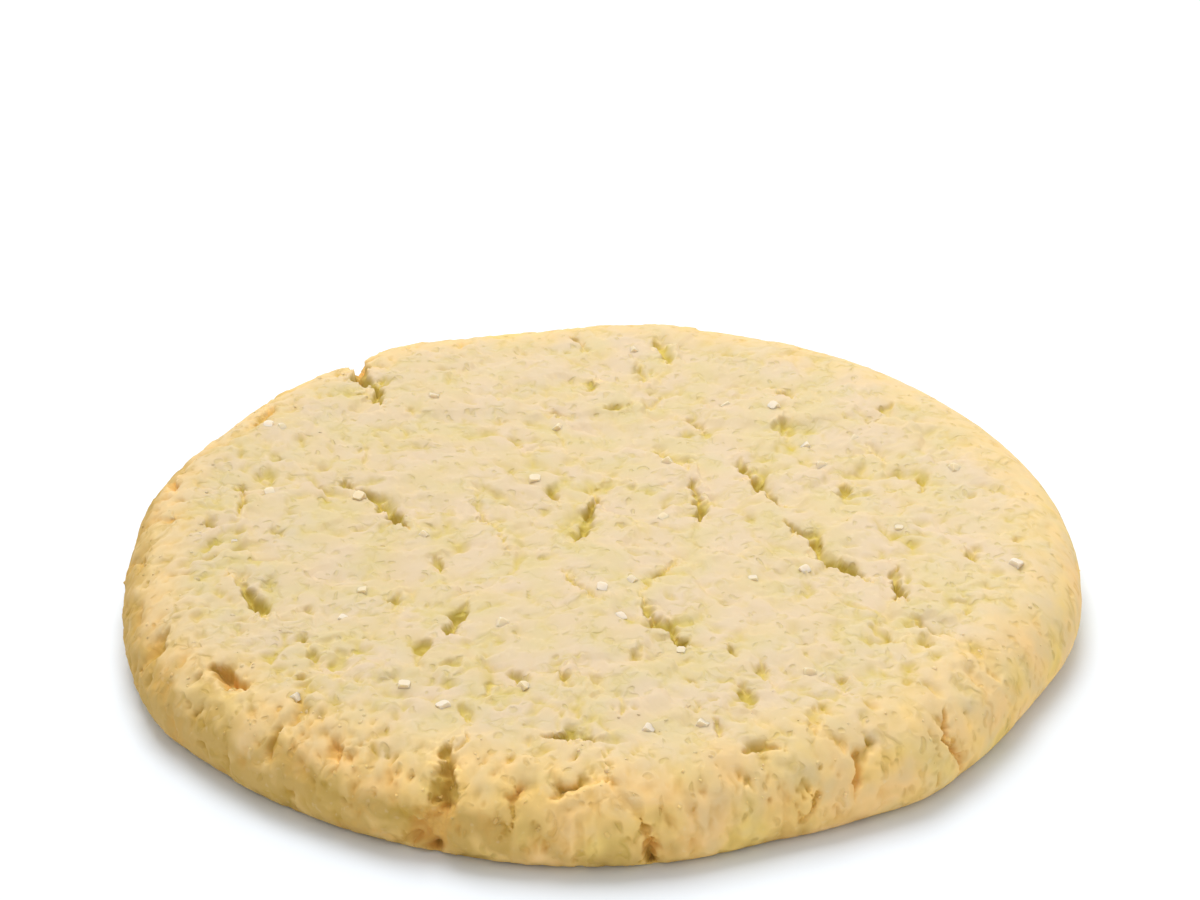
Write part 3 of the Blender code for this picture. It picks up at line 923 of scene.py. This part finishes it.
doughLook = {
    # the top is pale with cool and pink patches, and is multiplied by chalk and butter
    "pale": (0.714, 0.570, 0.355, 1),
    "cool": (0.698, 0.573, 0.349, 1),
    "pink": (0.722, 0.569, 0.360, 1),
    "chalk": (1.0, 1.0, 1.05, 1),
    "butter": (1.0, 0.985, 0.90, 1),
    # the rim is gold with ochre and rose dabs, tan on the left as painted shade of that side, and brown where
    # it is baked most
    # the rim's gold, ochre and rose are its own golden colour, made brighter than the top as painted light
    # where the lamp reaches the rim less
    "gold": (0.985, 0.665, 0.235, 1),
    "ochre": (0.940, 0.665, 0.200, 1),
    "rose": (0.990, 0.650, 0.265, 1),
    "tan": (0.790, 0.585, 0.300, 1),
    "brown": (0.600, 0.382, 0.100, 1),
    # painted shade in the hollows: olive on the top, and umber and amber on the rim
    "olive": (0.600, 0.468, 0.068, 1),
    "umber": (0.560, 0.352, 0.056, 1),
    "amber": (0.745, 0.430, 0.100, 1),
    "fleck": (0.860, 0.720, 0.480, 1),
    # scales of the noises that lay the tints
    "patchScale": 210.0,
    "speckScale": 450.0,
    "dabScale": 220.0,
    # spans of those noises over which each tint comes in
    "coolPatches": (0.50, 0.62),
    "pinkPatches": (0.48, 0.36),
    "butterDabs": (0.35, 0.65),
    "ochreDabs": (0.46, 0.34),
    "roseDabs": (0.54, 0.66),
    "amberDabs": (0.45, 0.55),
    "specks": (0.3, 0.7),
    "speckGain": 0.14,     # how much the specks shift the tone
    "speckOnTop": 0.1,
    # spans of the tone over which the rim, the brown and the rim's hollows come in
    "rimTones": (0.08, 0.7),
    "brownTones": (0.66, 1.1),
    "hollowTones": (0.05, 0.5),
    "tanSide": (-0.015, -0.040),
    # the largest share of each
    "tanMost": 0.75,
    "brownMost": 0.9,
    "hollowMost": 0.85,
    "fleckMost": 0.15,
    "leftPaintedShade": 0.90,     # painted shade: the left of the cookie is darker than the right, as if lit from the right
    "subsurface": 0.5,
    "radius": (1.0, 0.7, 0.35),
    "depth": 0.0007,       # how far light spreads under the skin
    "roughness": 0.82,
    "specular": 0.3,
    "bump": 0.000014,
}


def tintTop(group, patches, dabs):
    look = doughLook
    colour = mixColour(group, mapRange(group, patches, *look["coolPatches"]), look["pale"], look["cool"])
    colour = mixColour(group, mapRange(group, patches, *look["pinkPatches"]), colour, look["pink"])
    white = mixColour(group, mapRange(group, dabs, *look["butterDabs"]), look["chalk"], look["butter"])
    return mixColour(group, 1.0, colour, white, "MULTIPLY")


def tintRim(group, dabs, across):
    look = doughLook
    colour = mixColour(group, mapRange(group, dabs, *look["ochreDabs"]), look["gold"], look["ochre"])
    colour = mixColour(group, mapRange(group, dabs, *look["roseDabs"]), colour, look["rose"])
    # painted shade: the left of the rim turns tan
    onLeft = mapRange(group, across, *look["tanSide"], 0.0, look["tanMost"])
    return mixColour(group, onLeft, colour, look["tan"])


def hollowShadeTint(group, dabs, tone):
    # colour of the painted shade in the hollows
    look = doughLook
    onRim = mixColour(group, mapRange(group, dabs, *look["amberDabs"]), look["umber"], look["amber"])
    return mixColour(group, mapRange(group, tone, *look["hollowTones"]), look["olive"], onRim)


def makeOvenColour():
    # pale dough that turns gold and then brown with the tone, with soft patches of other tints, painted shade
    # in the hollows and painted shade on the left
    look = doughLook
    group, given, result = makeGroup(
        "ovenColour",
        (("Place", "NodeSocketVector", None), ("Tone", "NodeSocketFloat", 0.0),
         ("Crevice", "NodeSocketFloat", 0.0), ("Flecks", "NodeSocketFloat", 0.0)),
        (("Colour", "NodeSocketColor"),),
    )
    place = given["Place"]
    patches = noiseFac(group, place, look["patchScale"], 1.0)
    specks = noiseFac(group, place, look["speckScale"], 1.0)
    dabs = noiseFac(group, place, look["dabScale"], 0.0)
    across = addNode(group, "ShaderNodeSeparateXYZ", Vector=place).outputs[0]
    speckShift = mapRange(group, specks, *look["specks"], -look["speckGain"], look["speckGain"])
    speckShare = calculate(group, "ADD", given["Tone"], look["speckOnTop"])
    tone = calculate(group, "MULTIPLY_ADD", speckShift, speckShare, given["Tone"])
    rimShare = mapRange(group, tone, *look["rimTones"])
    colour = mixColour(group, rimShare, tintTop(group, patches, dabs), tintRim(group, dabs, across))
    browned = mapRange(group, tone, *look["brownTones"], 0.0, look["brownMost"])
    colour = mixColour(group, browned, colour, look["brown"])
    # painted shade in the hollows, strongest where the grooves are deepest
    deep = calculate(group, "MULTIPLY", given["Crevice"], look["hollowMost"])
    colour = mixColour(group, deep, colour, hollowShadeTint(group, dabs, given["Tone"]))
    flecked = calculate(group, "MULTIPLY", given["Flecks"], look["fleckMost"])
    colour = mixColour(group, flecked, colour, look["fleck"])
    # painted shade, darkest on the left of the cookie and none on the right
    shade = mapRange(group, across, -disc["radius"] * mm, disc["radius"] * mm, look["leftPaintedShade"], 1.0)
    group.links.new(mixColour(group, 1.0, colour, shade, "MULTIPLY"), result["Colour"])
    return group


def startMaterial(name):
    material = bpy.data.materials.new(name)
    material.use_nodes = True
    tree = material.node_tree
    place = tree.nodes.new("ShaderNodeTexCoord").outputs["Object"]
    return material, tree, tree.nodes["Principled BSDF"], place


def useGroup(tree, group, **inputs):
    return addNode(tree, "ShaderNodeGroup", {"node_tree": group}, **inputs)


def setSurface(shader, look):
    shader.inputs["Roughness"].default_value = look["roughness"]
    shader.inputs["Subsurface Weight"].default_value = look["subsurface"]
    shader.inputs["Subsurface Radius"].default_value = look["radius"]
    shader.inputs["Subsurface Scale"].default_value = look["depth"]


def makeDoughMaterial(sandyGrain, gapGroup, ovenColour):
    look = doughLook
    material, tree, shader, place = startMaterial("bakedDough")
    tone, crevice = readAttribute(tree, "tone"), readAttribute(tree, "crevice")
    gap = useGroup(tree, gapGroup, Place=place).outputs["Gap"]
    # painted shade in the fine gaps, darker towards the foot, added to that of the hollows
    shade = mapRange(tree, tone, 0.0, 1.0, *crumbGaps["shade"])
    shaded = addNode(tree, "ShaderNodeMath", {"operation": "MULTIPLY_ADD", "use_clamp": True}, i0=gap,
                     i1=shade, i2=crevice)
    grain = useGroup(tree, sandyGrain, Place=place, Scale=sand["scale"])
    colour = useGroup(tree, ovenColour, Place=place, Tone=tone, Crevice=shaded.outputs[0],
                      Flecks=grain.outputs["Flecks"])
    sandy = calculate(tree, "MULTIPLY", grain.outputs["Height"], look["bump"])
    height = calculate(tree, "MULTIPLY_ADD", gap, -crumbGaps["depth"], sandy)
    relief = addNode(tree, "ShaderNodeBump", Height=height, Distance=1.0, Strength=1.0)
    tree.links.new(colour.outputs["Colour"], shader.inputs["Base Color"])
    tree.links.new(relief.outputs["Normal"], shader.inputs["Normal"])
    setSurface(shader, look)
    shader.subsurface_method = "BURLEY"
    shader.inputs["Specular IOR Level"].default_value = look["specular"]
    return material


crumbLook = {
    "grainScale": 2600.0,
    "bump": 0.00004,
    "roughness": 0.85,
    "subsurface": 0.5,
    "radius": (1.0, 0.7, 0.35),
    "depth": 0.0002,
}


def makeCrumbMaterial(sandyGrain, ovenColour):
    look = crumbLook
    material, tree, shader, place = startMaterial("looseCrumb")
    grain = useGroup(tree, sandyGrain, Place=place, Scale=look["grainScale"])
    colour = useGroup(tree, ovenColour, Place=place, Tone=readAttribute(tree, "tone"), Crevice=0.0,
                      Flecks=grain.outputs["Flecks"])
    bump = addNode(tree, "ShaderNodeBump", Height=grain.outputs["Height"], Distance=look["bump"],
                   Strength=1.0)
    tree.links.new(colour.outputs["Colour"], shader.inputs["Base Color"])
    tree.links.new(bump.outputs["Normal"], shader.inputs["Normal"])
    setSurface(shader, look)
    return material


sugarLook = {
    "dull": (0.770, 0.620, 0.400, 1),
    "clear": (0.800, 0.668, 0.520, 1),
    "grainScale": 2200.0,
    "bump": 0.00002,
    "roughness": 0.6,
    "subsurface": 0.8,
    "radius": (1.0, 0.85, 0.65),
    "depth": 0.0008,
}


def makeSugarMaterial(sandyGrain):
    look = sugarLook
    material, tree, shader, place = startMaterial("sugarCrystal")
    grain = useGroup(tree, sandyGrain, Place=place, Scale=look["grainScale"])
    colour = mixColour(tree, readAttribute(tree, "clear"), look["dull"], look["clear"])
    bump = addNode(tree, "ShaderNodeBump", Height=grain.outputs["Height"], Distance=look["bump"],
                   Strength=1.0)
    tree.links.new(colour, shader.inputs["Base Color"])
    tree.links.new(bump.outputs["Normal"], shader.inputs["Normal"])
    setSurface(shader, look)
    return material


studio = {
    "lens": 105.0,
    "sensor": 36.0,
    "clipStart": 0.01,
    "elevation": 30.6,     # in degrees
    # the camera is this far away, in millimetres, and is aimed behind the middle, so the cookie sits low
    "distance": 330.7,
    "aimBack": 21.1,
    "lampPower": 2.85,
    "lampSize": 0.40,
    "lampPlace": (-0.05, 0.24, 0.58),
    "sky": 0.68,
    "skyColour": (1.0, 1.0, 1.0, 1),
    "floor": (0.84, 0.89, 0.95, 1),
    "floorReach": 3.0,
    "floorRoughness": 0.9,
}


def makeCamera(middle):
    camera = bpy.data.objects.new("camera", bpy.data.cameras.new("camera"))
    camera.data.lens = studio["lens"]
    camera.data.sensor_width = studio["sensor"]
    camera.data.clip_start = studio["clipStart"]
    lift = disc["thickness"] / 2
    tilt = math.radians(studio["elevation"])
    target = Vector((-middle[0], studio["aimBack"] - middle[1], lift)) * mm
    place = Vector((-middle[0], -studio["distance"] * math.cos(tilt) - middle[1],
                    studio["distance"] * math.sin(tilt) + lift)) * mm
    camera.location = place
    camera.rotation_euler = (target - place).to_track_quat("-Z", "Y").to_euler()
    bpy.context.scene.collection.objects.link(camera)
    bpy.context.scene.camera = camera


def makeFloor():
    bm = bmesh.new()
    bmesh.ops.create_grid(bm, x_segments=1, y_segments=1, size=studio["floorReach"])
    floor = finishPiece(bm, "floor")
    material, _, shader, _ = startMaterial("paleFloor")
    shader.inputs["Base Color"].default_value = studio["floor"]
    shader.inputs["Roughness"].default_value = studio["floorRoughness"]
    shader.inputs["Specular IOR Level"].default_value = 0.0
    floor.data.materials.append(material)


def makeLights():
    lamp = bpy.data.lights.new("softbox", "AREA")
    lamp.energy = studio["lampPower"]
    lamp.size = studio["lampSize"]
    softbox = bpy.data.objects.new("softbox", lamp)
    softbox.location = studio["lampPlace"]
    softbox.rotation_euler = (-Vector(studio["lampPlace"])).to_track_quat("-Z", "Y").to_euler()
    bpy.context.scene.collection.objects.link(softbox)

    world = bpy.data.worlds.new("paleRoom")
    world.use_nodes = True
    background = world.node_tree.nodes["Background"]
    background.inputs["Color"].default_value = studio["skyColour"]
    background.inputs["Strength"].default_value = studio["sky"]
    bpy.context.scene.world = world
    bpy.context.scene.view_settings.view_transform = "Standard"


cookieDough, middle = makeCookieDough()
tree = BVHTree.FromObject(cookieDough, bpy.context.evaluated_depsgraph_get())
sugarCrystals = makeSugarCrystals(tree)
looseCrumbs = makeCrumbs(tree, middle)

sandyGrain = makeSandyGrain()
ovenColour = makeOvenColour()
cookieDough.data.materials.append(makeDoughMaterial(sandyGrain, makeCrumbGaps(), ovenColour))
looseCrumbs.data.materials.append(makeCrumbMaterial(sandyGrain, ovenColour))
sugarCrystals.data.materials.append(makeSugarMaterial(sandyGrain))
print("materials:", len(bpy.data.materials))

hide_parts("cookie")
for piece in (cookieDough, sugarCrystals, looseCrumbs):
    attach(piece, "root")

makeCamera(middle)
makeFloor()
makeLights()
print("studio: camera, floor and softbox")
